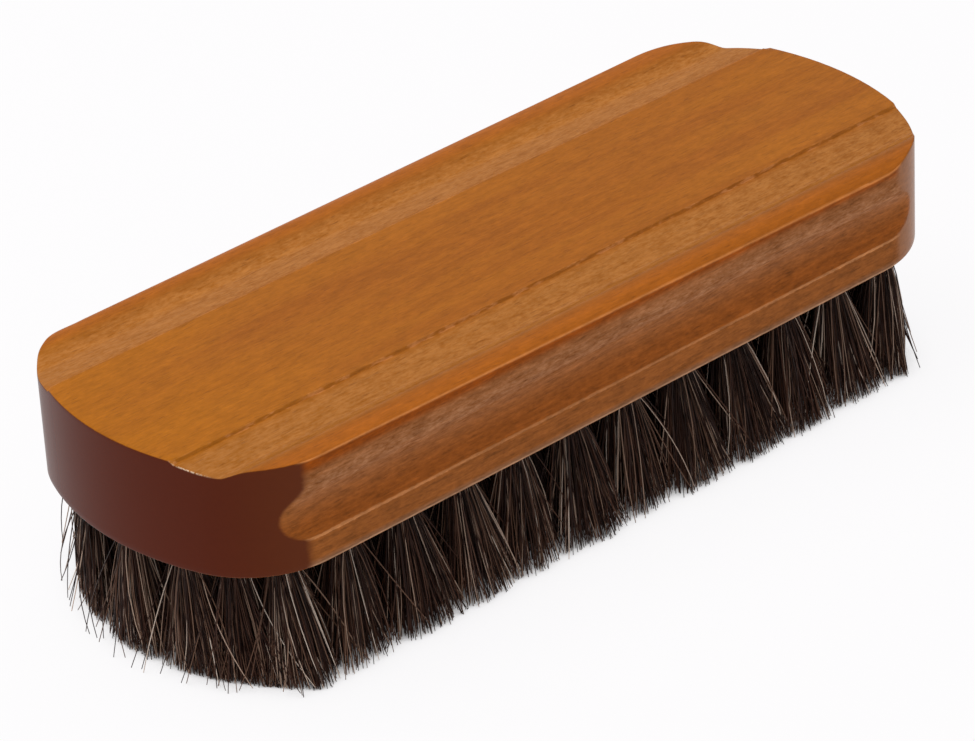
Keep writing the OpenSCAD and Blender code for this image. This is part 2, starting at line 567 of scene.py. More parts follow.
class ShapeSheet(Sheet):
    """A Geometry Nodes tree with named inputs, to be run on an object."""

    def __init__(self, name: str, inputs: dict[str, str]) -> None:
        """Makes the tree's sockets.

        Args:
            name: the tree's name.
            inputs: each input's name and the type of its socket.
        """
        super().__init__(bpy.data.node_groups.new(name, "GeometryNodeTree"))
        face = self.tree.interface
        face.new_socket("Geometry", in_out="INPUT", socket_type="NodeSocketGeometry")
        face.new_socket("Geometry", in_out="OUTPUT", socket_type="NodeSocketGeometry")
        for label, kind in inputs.items():
            face.new_socket(label, in_out="INPUT", socket_type=kind)
        self.given = self.add("NodeGroupInput")

    def random(self, number: Reading, seed: Reading, low: float = 0.0, high: float = 1.0) -> Reading:
        """Returns a random value between low and high for each number."""
        values = {"Min": low, "Max": high, "ID": number, "Seed": seed}
        return self.add("FunctionNodeRandomValue", {"data_type": "FLOAT"}, values)

    def hold(self, value: Reading, limit: Reading) -> Reading:
        """Returns a value held between minus a limit and the limit."""
        return self.math("MAXIMUM", self.math("MINIMUM", value, limit), -limit)

    def finish(self, shape: Reading) -> None:
        """Ends the tree in plain geometry with its material.

        Args:
            shape: what the tree has made.
        """
        real = self.add("GeometryNodeRealizeInstances", {}, {"Geometry": shape})
        coated = self.add(
            "GeometryNodeSetMaterial", {}, {"Geometry": real, "Material": self.given.port("Material")}
        )
        self.add("NodeGroupOutput", {}, {"Geometry": coated})

    def run_on(self, thing: bpy.types.Object, values: dict[str, object]) -> bpy.types.Object:
        """Runs the tree on an object and returns the plain mesh that it makes.

        Args:
            thing: the object that the tree starts from; it is used up.
            values: what each named input is given.

        Returns:
            A plain mesh object with the same name.
        """
        name = thing.name
        thing.name = name + ".source"
        modifier = thing.modifiers.new("shape", "NODES")
        modifier.node_group = self.tree
        for item in self.tree.interface.items_tree:
            if item.item_type == "SOCKET" and item.in_out == "INPUT" and item.name in values:
                modifier[item.identifier] = values[item.name]
        made = plain_mesh(thing, name)
        made.data.materials.clear()
        made.data.materials.append(values["Material"])
        made.data.polygons.foreach_set("material_index", [0] * len(made.data.polygons))
        return made


def points_object(name: str, places: np.ndarray) -> bpy.types.Object:
    """Makes an object whose mesh is only points.

    Args:
        name: the object's name.
        places: the points, in metres.

    Returns:
        The object, linked to the scene.
    """
    mesh = bpy.data.meshes.new(name)
    mesh.from_pydata(places.tolist(), [], [])
    made = bpy.data.objects.new(name, mesh)
    bpy.context.scene.collection.objects.link(made)
    return made


def anchor_places(node: str, height: float) -> np.ndarray:
    """Returns where the tufts of a row stand, found from the anchors of that row.

    Args:
        node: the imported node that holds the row's anchors.
        height: the height of the underside, in metres.

    Returns:
        One point per anchor, in metres, in order along the row.
    """
    sides = sorted({round(v.co.x, 5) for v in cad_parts[node].data.vertices})
    low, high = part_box(node)
    middles = [(a + b) / 2 for a, b in zip(sides[::2], sides[1::2])]
    return np.array([[x, (low.y + high.y) / 2, height] for x in middles])


class HandleBlock:
    """The lacquered wooden block, with its bores. Sizes are in millimetres.

    The top is a grid, which stops a COLLAR short of the outline, and the walls are rings that hang
    from it. LEVELS are heights above the underside, and ARRIS_RISES are heights above the flange's
    upper arris. The marks for the finish count a point as below the rim from RIM_MARK on, and as
    far inside the outline as INSIDE_MARK at most.
    """

    NODE = "handle_block"
    ALONG = 280
    PANEL_LINES = 7
    GROOVE_LINES = 21
    PANEL_REST = 1.0
    STEP_GAP = 0.15
    GROOVE_GAP = 0.6
    COLLAR = 0.9
    CORNER_STEP = 0.45
    RIM_ROUND = 0.3
    RIM_SHARES = (0.25, 0.5, 0.75, 1.0)
    FOOT_ROUND = 0.35
    FOOT_TURNS = (30, 60, 90)
    FACE_BLEND = 0.35
    LIP_LEVEL = 17.4
    LIP_SHARES = (0.25, 0.5, 0.75)
    COVE_LEVELS = (17.4, 16.6, 15.8, 15, 14, 13, 12, 11, 9.9, 9, 8.2, 7.5, 6.9)
    ARRIS_RISES = (0.7, 0.35, 0.12, 0, -0.12, -0.35, -0.8)
    FLANGE_LEVELS = (3.8, 2.6, 1.4)
    TOP_WEAR = Unevenness(0.03, (70, 43, 29), 3, seed=2)
    SIDE_WEAR = Unevenness(0.025, (31, 17, 9), 3, seed=5)
    ARRIS_WEAR = Unevenness(0.07, (23, 7.1, 3.3, 1.9), 1, seed=7)
    RIM_MARK = 0.05
    INSIDE_MARK = 5
    BORE_D = 4.8
    BORE_DEPTH = 10.0
    DRILL_ANGLE = 118.0
    BORE_SIDES = 24

    def __init__(self) -> None:
        """Reads the block's size and place from the frame."""
        self.size = BlockSize.of_node(self.NODE)
        self.form = BlockForm(self.size)
        self.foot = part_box(self.NODE)[0].z
        self.parts = MeshParts()

    def _lines(self) -> np.ndarray:
        """Works out the lines of the top's grid.

        Returns:
            Their distances from the middle line, in order.
        """
        edge = self.size.panel_w / 2
        run = self.size.step_run
        side = self.form.half_w - self.COLLAR
        out = np.concatenate([
            np.linspace(0, edge - self.PANEL_REST, self.PANEL_LINES),
            [edge - run - self.STEP_GAP, edge - run, edge, edge + self.STEP_GAP],
            np.linspace(edge + self.GROOVE_GAP, side, self.GROOVE_LINES),
        ])
        return np.concatenate([-out[:0:-1], out])

    def _edge_points(self, y: np.ndarray, end: float) -> tuple[np.ndarray, np.ndarray]:
        """Follows the outline round one end.

        Args:
            y: the lines that it is wanted at, as distances from the middle line.
            end: 1 for the end at positive x, and -1 for the other.

        Returns:
            The outline's points, and its outward directions there.
        """
        form, collar = self.form, self.COLLAR
        side = np.sign(y)
        bow = np.abs(y) <= (form.bow_r - collar) * math.sin(form.bow_turn)
        corner_r = self.size.corner_r
        turn_bow = np.arcsin(np.clip(y / (form.bow_r - collar), -1, 1))
        share = np.clip((np.abs(y) - form.corner_y) / (corner_r - collar), -1, 1)
        turn = np.where(bow, turn_bow, np.arcsin(share) * side)
        radius = np.where(bow, form.bow_r, corner_r)
        middle_x = np.where(bow, form.bow_x, form.corner_x)
        middle_y = np.where(bow, 0.0, form.corner_y * side)
        out = np.stack([np.cos(turn) * end, np.sin(turn)], 1)
        middle = np.stack([middle_x * end, middle_y], 1)
        return middle + radius[:, None] * out, out

    def _corner_fill(self, a: float, b: float) -> np.ndarray:
        """Divides a corner's arc evenly between two lines of the grid.

        Args:
            a: the first line.
            b: the next one.

        Returns:
            The lines between them.
        """
        radius = self.size.corner_r - self.COLLAR
        shares = np.array([a, b])
        turns = np.arcsin(np.clip((np.abs(shares) - self.form.corner_y) / radius, -1, 1))
        steps = math.ceil(abs(turns[1] - turns[0]) * self.size.corner_r / self.CORNER_STEP)
        inner = np.linspace(turns[0], turns[1], max(steps, 1) + 1)[1:-1]
        return np.sign(a) * (self.form.corner_y + radius * np.sin(inner))

    def _end_lines(self, lines: np.ndarray) -> tuple[np.ndarray, np.ndarray]:
        """Fills the corners in between the lines of the grid.

        Args:
            lines: the grid's lines.

        Returns:
            An end's lines, and which of them are the grid's.
        """
        limit = (self.form.bow_r - self.COLLAR) * math.sin(self.form.bow_turn)
        fine, own = [lines[0]], [True]
        for a, b in zip(lines[:-1], lines[1:]):
            if min(abs(a), abs(b)) > limit:
                extra = self._corner_fill(a, b)
                fine.extend(extra)
                own.extend([False] * len(extra))
            fine.append(b)
            own.append(True)
        return np.array(fine), np.array(own)

    def _outline(self, lines: np.ndarray) -> tuple[np.ndarray, np.ndarray, np.ndarray]:
        """Follows the whole outline.

        Args:
            lines: the grid's lines.

        Returns:
            Its points, its outward directions and which points are the grid's.
        """
        fine, own = self._end_lines(lines)
        along = np.linspace(-self.form.corner_x, self.form.corner_x, self.ALONG + 1)[1:-1]
        near = np.stack([along, np.full_like(along, -self.form.half_w)], 1)
        down = np.tile([0.0, -1.0], (len(along), 1))
        right, right_out = self._edge_points(fine, 1.0)
        left, left_out = self._edge_points(fine[::-1], -1.0)
        outline = np.concatenate([near, right, -near, left])
        out = np.concatenate([down, right_out, -down, left_out])
        grid = np.ones(len(along), bool)
        return outline, out, np.concatenate([grid, own, grid, own[::-1]])

    def _top(self, lines: np.ndarray) -> np.ndarray:
        """Adds the top's grid.

        Args:
            lines: the grid's lines.

        Returns:
            The numbers of its border, in the outline's order.
        """
        share = np.linspace(-1, 1, self.ALONG + 1)
        reach = self.form.end_x(lines, self.COLLAR)
        x = share[:, None] * reach[None, :]
        y = np.tile(lines, (len(share), 1))
        z = self.form.top_z(x, y) + self.TOP_WEAR.at(x, y)
        points = np.stack([x, y, z], 2).reshape(-1, 3)
        numbers = self.parts.add_points(points).reshape(x.shape)
        quads = [numbers[:-1, :-1], numbers[1:, :-1], numbers[1:, 1:], numbers[:-1, 1:]]
        self.parts.faces.extend(np.stack(quads, 2).reshape(-1, 4).tolist())
        return np.concatenate([
            numbers[1:-1, 0], numbers[-1, :], numbers[-2:0:-1, -1], numbers[0, ::-1],
        ])

    def _ring(self, outline: np.ndarray, z: np.ndarray) -> np.ndarray:
        """Adds one ring of points, drawn in to the cove's face.

        Args:
            outline: the ring from above.
            z: its heights above the underside.

        Returns:
            The points' numbers.
        """
        x, y = outline[:, 0], outline[:, 1]
        limit = self.form.half_w - self.form.cove_in(x, y, z) + self.SIDE_WEAR.at(x, z)
        gap = np.abs(np.abs(y) - limit)
        blend = np.maximum(self.FACE_BLEND - gap, 0) ** 2 / (4 * self.FACE_BLEND)
        inner = np.minimum(np.abs(y), limit) - blend
        return self.parts.add_points(np.stack([x, np.sign(y) * inner, z], 1))

    def _arris(self, outline: np.ndarray) -> np.ndarray:
        """Returns the height of the flange's worn upper arris all round the outline."""
        x, y = outline[:, 0], outline[:, 1]
        return self.form.flange_z(x, y) + self.ARRIS_WEAR.at(x, y)

    def _walls(self, outline: np.ndarray, out: np.ndarray, rim: np.ndarray) -> np.ndarray:
        """Adds the rounded rim and the walls below it.

        Args:
            outline: the outline's points.
            out: its outward directions.
            rim: the numbers of the ring that the walls hang from.

        Returns:
            The numbers of the lowest ring.
        """
        edge_z = self.form.top_z(outline[:, 0], outline[:, 1])
        inside = outline - out * self.RIM_ROUND
        inside_z = self.form.top_z(inside[:, 0], inside[:, 1])
        upper = edge_z - self.RIM_ROUND
        arris = self._arris(outline)
        rings = []
        for share in self.RIM_SHARES:
            keep = (1 - share) ** 2
            z = keep * inside_z + (1 - keep) * edge_z - share**2 * self.RIM_ROUND
            rings.append((keep * self.RIM_ROUND, z))
        rings += [(0.0, upper + (self.LIP_LEVEL - upper) * t) for t in self.LIP_SHARES]
        rings += [(0.0, np.full_like(upper, z)) for z in self.COVE_LEVELS]
        rings += [(0.0, arris + rise) for rise in self.ARRIS_RISES]
        rings += [(0.0, np.full_like(upper, z)) for z in (*self.FLANGE_LEVELS, self.FOOT_ROUND)]
        for turn in self.FOOT_TURNS:
            pull = self.FOOT_ROUND * (1 - math.cos(math.radians(turn)))
            drop = self.FOOT_ROUND * (1 - math.sin(math.radians(turn)))
            rings.append((pull, np.full_like(upper, drop)))
        last = rim
        for pull, z in rings:
            ring = self._ring(outline - out * pull, z)
            self.parts.add_band(last, ring)
            last = ring
        return last

    def _solid(self) -> bpy.types.Object:
        """Builds the block without its bores.

        Returns:
            The solid block, in place.
        """
        lines = self._lines()
        border = self._top(lines)
        outline, out, own = self._outline(lines)
        inside = outline - out * self.RIM_ROUND
        rim = self._ring(inside, self.form.top_z(inside[:, 0], inside[:, 1]))
        marks = np.flatnonzero(own)
        for i, mark in enumerate(marks):
            after = (i + 1) % len(marks)
            end = marks[after] if after else len(outline)
            between = [rim[k % len(outline)] for k in range(mark, end + 1)]
            self.parts.faces.append([border[i], *between, border[after]])
        foot = self._walls(outline, out, rim)
        self.parts.faces.append(foot[::-1].tolist())
        block = self.parts.build("lacquered_block")
        block.data.transform(Matrix.Translation((0, 0, self.foot)))
        return block

    def _bore_sheet(self) -> ShapeSheet:
        """Lays out the tree that drills a bore at each place.

        Returns:
            The tree's sheet, to be run on the solid block.
        """
        inputs = {
            "Places": "NodeSocketObject", "Bore Radius": "NodeSocketFloat",
            "Bore Depth": "NodeSocketFloat", "Point Height": "NodeSocketFloat",
            "Material": "NodeSocketMaterial",
        }
        sheet = ShapeSheet("blind_bores", inputs)
        radius, depth = sheet.given.port("Bore Radius"), sheet.given.port("Bore Depth")
        point = sheet.given.port("Point Height")
        overrun = 1.0 * MM
        wall = sheet.add("GeometryNodeMeshCylinder", {"fill_type": "NGON"}, {
            "Vertices": self.BORE_SIDES, "Radius": radius, "Depth": depth + overrun,
        })
        tip = sheet.add("GeometryNodeMeshCone", {"fill_type": "NGON"}, {
            "Vertices": self.BORE_SIDES, "Radius Top": 0.0, "Radius Bottom": radius,
            "Depth": point,
        })
        lift = sheet.add("ShaderNodeCombineXYZ", {}, {"Z": (depth - overrun) / 2})
        above = sheet.add("ShaderNodeCombineXYZ", {}, {"Z": depth})
        wall = sheet.add("GeometryNodeTransform", {}, {"Geometry": wall, "Translation": lift})
        tip = sheet.add("GeometryNodeTransform", {}, {"Geometry": tip, "Translation": above})
        union = {"operation": "UNION", "solver": "MANIFOLD"}
        drill = sheet.add("GeometryNodeMeshBoolean", union, {1: wall})
        sheet.tree.links.new(tip.socket, drill.node.inputs[1])
        places = sheet.add("GeometryNodeObjectInfo", {}, {"Object": sheet.given.port("Places")})
        drills = sheet.add("GeometryNodeInstanceOnPoints", {}, {
            "Points": places.port("Geometry"), "Instance": drill,
        })
        cut = {"operation": "DIFFERENCE", "solver": "MANIFOLD"}
        bored = sheet.add("GeometryNodeMeshBoolean", cut, {
            "Mesh 1": sheet.given.port("Geometry"), "Mesh 2": drills,
        })
        sheet.finish(bored)
        return sheet

    def _mark(self, block: bpy.types.Object) -> None:
        """Writes, for the finish, how far each point lies past the side and below the rim.

        Args:
            block: the bored block.
        """
        mesh = block.data
        place = np.zeros(len(mesh.vertices) * 3)
        mesh.vertices.foreach_get("co", place)
        x, y, z = (place.reshape(-1, 3) - [0, 0, self.foot]).T / MM
        past = self.form.half_w - self.form.cove_in(x, y, z) - self.form.half_y(x)
        below = self.form.top_z(x, y) - z
        inner = np.minimum(self.form.end_x(y) - np.abs(x), self.form.half_w - np.abs(y))
        below = np.where(below > self.RIM_MARK, below, -np.clip(inner, 0, self.INSIDE_MARK))
        for name, values in (("past_side", past), ("below_rim", below)):
            layer = mesh.attributes.new(name, "FLOAT", "POINT")
            layer.data.foreach_set("value", values.astype(np.float32))

    def build(self, places: np.ndarray, finish: bpy.types.Material) -> bpy.types.Object:
        """Builds the whole block.

        Args:
            places: where the bores start, in metres.
            finish: the lacquered wood.

        Returns:
            The block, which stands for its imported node.
        """
        point = self.BORE_D / 2 / math.tan(math.radians(self.DRILL_ANGLE / 2))
        marks = points_object("bore_places", places)
        block = self._bore_sheet().run_on(self._solid(), {
            "Places": marks, "Bore Radius": self.BORE_D / 2 * MM,
            "Bore Depth": self.BORE_DEPTH * MM, "Point Height": point * MM, "Material": finish,
        })
        bpy.data.objects.remove(marks)
        self._mark(block)
        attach(block, "root")
        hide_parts(self.NODE)
        return block


@dataclass(frozen=True)
class HairSet:
    """One kind of hair in a tuft.

    Args:
        strands: how many hairs a tuft has.
        joints: how many points a hair has.
        radius: half of its thickness at the root, in millimetres.
        spread: how far it fans out, where 1 is the tuft's own fan.
        bend: how far it bows at most, in millimetres.
        gather: how much of the hair draws together in locks, at most.
        shortest: the shortest hair's share of the full length.
        past: how far it may reach past the trimmed outline at an end, in millimetres.
        darkness: a power on each hair's tone: below 1, more of the hairs are pale.
    """

    strands: int
    joints: int
    radius: float
    spread: float
    bend: float
    gather: float
    shortest: float
    past: float
    darkness: float


class HorsehairBed:
    """The rows of horsehair tufts, one piece per row. Lengths are in millimetres.

    A tuft fills its bore, fans out by FAN_X along the block and FAN_Y across it, leans outwards by
    up to SIDE_LEAN degrees and is tilted at random by up to TUFT_TILT. The bed is trimmed to an
    outline that lies past the block's end and side by OVERHANG. At the ends it draws in by
    END_ROUND times the square of the distance from the middle line, in metres. RAGGED is its
    unevenness at the sides, and END_RAGGED the share of that at the ends. A tuft has LOCKS locks.
    CROWDING, BEND_POWER, FLARE and TAPER_POWER are powers, VEER is an angle in radians and TAPER a
    share of a hair's thickness. The MAP values place a hair on the map that its colour is read
    from.
    """

    ROWS = 9
    ROOT_R = 2.25
    WAIST_R = 2.0
    FAN_X = 9.0
    FAN_Y = 7.6
    SIDE_LEAN = 7.0
    TUFT_TILT = 1.3
    OVERHANG = (-1.8, 1.7)
    END_ROUND = 14.0
    RAGGED = 2.2
    END_RAGGED = 0.5
    LOCKS = 11
    CROWDING = 0.42
    VEER = 0.55
    BEND_POWER = 1.5
    FLARE = 1.05
    TAPER = 0.35
    TAPER_POWER = 3.0
    HAIR_SIDES = 3
    MAP_START = 0.01
    MAP_SPAN = 0.97
    MAP_WIDTH = 0.012
    ROW_SEED = 100
    KIND_SEED = 20.0
    BRISTLES = HairSet(412, 6, 0.115, 1.0, 1.5, 0.4, 0.94, 0.0, 1.0)
    STRAYS = HairSet(14, 11, 0.12, 1.6, 2.2, 0.0, 0.9, 3.6, 0.4)

    def __init__(self) -> None:
        """Reads the rows' places and the bristles' length from the frame."""
        low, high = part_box(HandleBlock.NODE)
        self.length = low.z
        self.edge = (high.x + self.OVERHANG[0] * MM, high.y + self.OVERHANG[1] * MM)
        self.rows = [
            anchor_places(f"anchor_row_{row}", self.length) for row in range(1, self.ROWS + 1)
        ]
        widest = np.abs(np.concatenate(self.rows)[:, 1]).max()
        self.lean = self.length * math.tan(math.radians(self.SIDE_LEAN)) / widest
        self.strand_sheet = self._strand_sheet()
        self.row_sheet = self._row_sheet()

    def _strand_sheet(self) -> ShapeSheet:
        """Lays out the tree that grows one kind of hair from points.

        Each point is copied once for every joint of every hair, the copies are moved to where their
        joints lie, and the joints of a hair are then strung on a curve.

        Returns:
            The tree's sheet, for the rows' own tree to use.
        """
        sizes = (
            "Hair Radius", "Spread", "Bend", "Gather", "Shortest", "Length", "Root Radius",
            "Waist Radius", "Fan X", "Fan Y", "Lean", "Tilt", "Edge X", "Edge Y", "End Round",
            "Ragged", "Darkness",
        )
        inputs = {
            "Strands": "NodeSocketInt", "Joints": "NodeSocketInt",
            **dict.fromkeys(sizes, "NodeSocketFloat"),
            "Seed": "NodeSocketInt", "Material": "NodeSocketMaterial",
        }
        s = ShapeSheet("horsehair_strands", inputs)
        given = s.given.port
        strands, joints, seed = given("Strands"), given("Joints"), given("Seed")
        points = s.add("GeometryNodeMeshToPoints", {}, {"Mesh": given("Geometry")})
        held = s.add("GeometryNodeCaptureAttribute", {"domain": "POINT"}, {"Geometry": points})
        held.node.capture_items.new("INT", "Tuft")
        number = s.add("GeometryNodeInputIndex")
        s.tree.links.new(number.socket, held.node.inputs["Tuft"])
        copies = s.add("GeometryNodeDuplicateElements", {"domain": "POINT"}, {
            "Geometry": held.port("Geometry"), "Amount": strands * joints,
        })
        copy = copies.port("Duplicate Index")
        strand = s.math("FLOOR", copy / joints)
        step = copy - strand * joints
        tuft = held.port("Tuft")
        hair = tuft * strands + strand
        lock = tuft * self.LOCKS + strand % float(self.LOCKS)

        first = 1.0 / (joints - 1.0)
        along = step * first
        out = ((along - first) / (1.0 - first)).clamp()
        inside = (1.0 - along / first).clamp()

        turn = s.random(hair, seed, 0.0, math.tau)
        share = s.random(hair, seed + 1.0) ** self.CROWDING
        veer = s.random(hair, seed + 2.0, -self.VEER, self.VEER)
        lock_turn = s.random(lock, seed + 3.0, 0.0, math.tau)
        lock_share = s.math("SQRT", s.random(lock, seed + 4.0))
        bend_turn = s.random(hair, seed + 5.0, 0.0, math.tau)
        bend = s.random(hair, seed + 6.0) ** self.BEND_POWER * given("Bend")
        cut = s.random(hair, seed + 7.0)
        tone = s.random(hair, seed + 8.0) ** given("Darkness")

        bore_r = given("Waist Radius") * (1.0 - inside) + given("Root Radius") * inside
        root_r = share * bore_r
        gather = given("Gather") * s.random(hair, seed + 9.0)
        own_share = share * (1.0 - gather)
        lock_share = lock_share * gather
        swell = out ** self.FLARE
        arc_out = out * (1.0 - out) * 4.0
        base = s.add("ShaderNodeSeparateXYZ", {}, {"Vector": s.add("GeometryNodeInputPosition")})
        end_turn = turn + veer
        side = {}
        tilts = {
            "X": s.random(tuft, seed + 10.0, -1.0, 1.0),
            "Y": s.random(tuft, seed + 11.0, -1.0, 1.0),
        }
        ragged = s.random(hair, seed + 12.0) * given("Ragged")
        edges = {"Y": given("Edge Y") - ragged}
        for axis, wave in (("Y", "SINE"), ("X", "COSINE")):
            root = root_r * s.math(wave, turn)
            tip = own_share * s.math(wave, end_turn) + lock_share * s.math(wave, lock_turn)
            tip = tip * given("Fan " + axis) * given("Spread")
            lean = tilts[axis] * given("Tilt")
            if axis == "Y":
                lean = base.port(axis) * given("Lean") + lean
            bow = bend * s.math(wave, bend_turn) * arc_out
            reach = s.hold(base.port(axis) + tip + lean, edges[axis])
            if axis == "Y":
                end_edge = given("Edge X") - ragged * self.END_RAGGED
                edges["X"] = end_edge - reach * reach * given("End Round")
            goal = reach - base.port(axis)
            free = base.port(axis) + root * (1.0 - swell) + goal * swell + bow
            side[axis] = s.hold(free, given("Edge " + axis)) - base.port(axis)
        hidden = given("Length") * first / (1.0 - first)
        full = given("Shortest") + (1.0 - given("Shortest")) * s.math("SQRT", cut)
        side["Z"] = inside * hidden - out * given("Length") * full
        shift = s.add("ShaderNodeCombineXYZ", {}, side)
        placed = s.add("GeometryNodeSetPosition", {}, {
            "Geometry": copies.port("Geometry"), "Offset": shift,
        })
        kept = s.add("GeometryNodeCaptureAttribute", {"domain": "POINT"}, {"Geometry": placed})
        for label, value in (("Hair", hair), ("Along", along), ("Tone", tone)):
            kept.node.capture_items.new("FLOAT", label)
            s.tree.links.new(value.socket, kept.node.inputs[label])
        s.finish(self._thicken(s, kept))
        return s

    def _thicken(self, s: ShapeSheet, joints: Reading) -> Reading:
        """Strings joints on curves and gives each curve the thickness and the map of a hair.

        Args:
            s: the tree's sheet.
            joints: the points, with the hair that each is on, its place along it and the hair's tone.

        Returns:
            The hairs as one mesh.
        """
        along = joints.port("Along")
        curves = s.add("GeometryNodePointsToCurves", {}, {
            "Points": joints.port("Geometry"), "Curve Group ID": joints.port("Hair"), "Weight": along,
        })
        thin = s.given.port("Hair Radius") * (1.0 - self.TAPER * along ** self.TAPER_POWER)
        circle = s.add("GeometryNodeCurvePrimitiveCircle", {"mode": "RADIUS"}, {
            "Resolution": self.HAIR_SIDES, "Radius": 1.0,
        })
        girth = s.add("GeometryNodeCaptureAttribute", {"domain": "POINT"}, {"Geometry": circle})
        girth.node.capture_items.new("FLOAT", "Round")
        way_round = s.add("GeometryNodeSplineParameter")
        s.tree.links.new(way_round.socket, girth.node.inputs["Round"])
        tubes = s.add("GeometryNodeCurveToMesh", {}, {
            "Curve": curves, "Profile Curve": girth.port("Geometry"), "Scale": thin,
            "Fill Caps": True,
        })
        around = girth.port("Round")
        over = {"X": joints.port("Tone"), "Y": along}
        wide = {"X": around, "Y": around * around}
        map_place = s.add("ShaderNodeCombineXYZ", {}, {
            axis: over[axis] * self.MAP_SPAN + wide[axis] * self.MAP_WIDTH + self.MAP_START
            for axis in over
        })
        on_corners = {"data_type": "FLOAT2", "domain": "CORNER"}
        mapped = s.add("GeometryNodeStoreNamedAttribute", on_corners, {
            "Geometry": tubes, "Name": BAKE_MAP, "Value": map_place,
        })
        return s.add("GeometryNodeSetShadeSmooth", {}, {"Geometry": mapped})

    def _row_sheet(self) -> ShapeSheet:
        """Lays out the tree that makes a row of its bristles and its strays.

        Returns:
            The tree's sheet, to be run on a row's points.
        """
        inputs = {"Seed": "NodeSocketInt", "Material": "NodeSocketMaterial"}
        s = ShapeSheet("tuft_row", inputs)
        both = s.add("GeometryNodeJoinGeometry")
        for shift, kind in enumerate((self.BRISTLES, self.STRAYS)):
            grown = s.add("GeometryNodeGroup", {"node_tree": self.strand_sheet.tree}, {
                "Geometry": s.given.port("Geometry"), "Strands": kind.strands,
                "Joints": kind.joints, "Hair Radius": kind.radius * MM, "Spread": kind.spread,
                "Bend": kind.bend * MM, "Gather": kind.gather, "Shortest": kind.shortest,
                "Length": self.length, "Root Radius": self.ROOT_R * MM,
                "Waist Radius": self.WAIST_R * MM, "Fan X": self.FAN_X * MM,
                "Fan Y": self.FAN_Y * MM, "Lean": self.lean, "Tilt": self.TUFT_TILT * MM,
                "Edge X": self.edge[0] + kind.past * MM, "Edge Y": self.edge[1],
                "End Round": self.END_ROUND, "Ragged": self.RAGGED * MM,
                "Darkness": kind.darkness, "Seed": s.given.port("Seed") + self.KIND_SEED * shift,
                "Material": s.given.port("Material"),
            })
            s.tree.links.new(grown.socket, both.node.inputs["Geometry"])
        s.finish(both)
        return s

    def build(self, finish: bpy.types.Material) -> list[bpy.types.Object]:
        """Grows the hair of every row.

        Args:
            finish: the hair.

        Returns:
            One piece per row, which stands for that row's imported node.
        """
        made = []
        for row, places in enumerate(self.rows, start=1):
            start = points_object(f"horsehair_row_{row}", places)
            hair = self.row_sheet.run_on(start, {"Seed": self.ROW_SEED * row, "Material": finish})
            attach(hair, "root")
            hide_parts(f"tuft_row_{row}")
            made.append(hair)
        return made


@dataclass(frozen=True)
class Pattern:
    """Noise drawn out along the block, by its lumps in each millimetre along and across."""

    along: float
    across: float
    detail: float
    roughness: float = 0.5

    def at(self, s: Sheet, place: Reading) -> Reading:
        """Lays the noise out on a sheet, at a place in millimetres."""
        drawn = s.stretch(place, self.along, self.across, self.across)
        return s.noise(drawn, self.detail, self.roughness)


class WoodGround:
    """What the lacquer's parts are laid out from: places on the block and patterns of the wood.

    Places are in millimetres: x along the block, y across it, out from its middle line and z up from
    its underside. The block's own marks say how far a point lies past the side and below the rim.
    """

    BANDS = Pattern(0.012, 0.17, 3.0, 0.55)
    FIBRE = Pattern(0.12, 2.4, 4.0, 0.6)
    SPECK = Pattern(0.9, 2.6, 2.0, 0.6)
    MOTTLE = Pattern(0.28, 0.9, 2.0, 0.6)
    CLOUD = Pattern(0.03, 0.05, 2.0)
    PORES = Pattern(0.35, 4.5, 1.0)

    def __init__(self, s: Sheet, foot: float) -> None:
        """Lays the ground out.

        Args:
            s: the sheet that it is laid out on.
            foot: the height of the block's underside, in metres.
        """
        spot = s.add("ShaderNodeTexCoord").port("Object")
        place = s.add("ShaderNodeMapping", {}, {
            "Vector": spot, "Location": (0, 0, -foot / MM), "Scale": (1 / MM, 1 / MM, 1 / MM),
        })
        axes = s.add("ShaderNodeSeparateXYZ", {}, {"Vector": place})
        self.x, self.y, self.z = axes.port("X"), axes.port("Y"), axes.port("Z")
        self.out = abs(self.y)
        self.past = s.add("ShaderNodeAttribute", {"attribute_name": "past_side"}).port("Fac")
        self.below = s.add("ShaderNodeAttribute", {"attribute_name": "below_rim"}).port("Fac")
        self.bands = self.BANDS.at(s, place)
        self.fibre = self.FIBRE.at(s, place)
        self.speck = self.SPECK.at(s, place)
        self.mottle = self.MOTTLE.at(s, place)
        self.cloud = self.CLOUD.at(s, place)
        self.pores = self.PORES.at(s, place).rise(0.64, 0.76)
        self.on_end = (self.past + self.speck.swing(0.25)).rise(0.2, 0.65)
        self.on_wall = (self.below + self.speck.swing(0.15)).rise(0.02, 0.22)


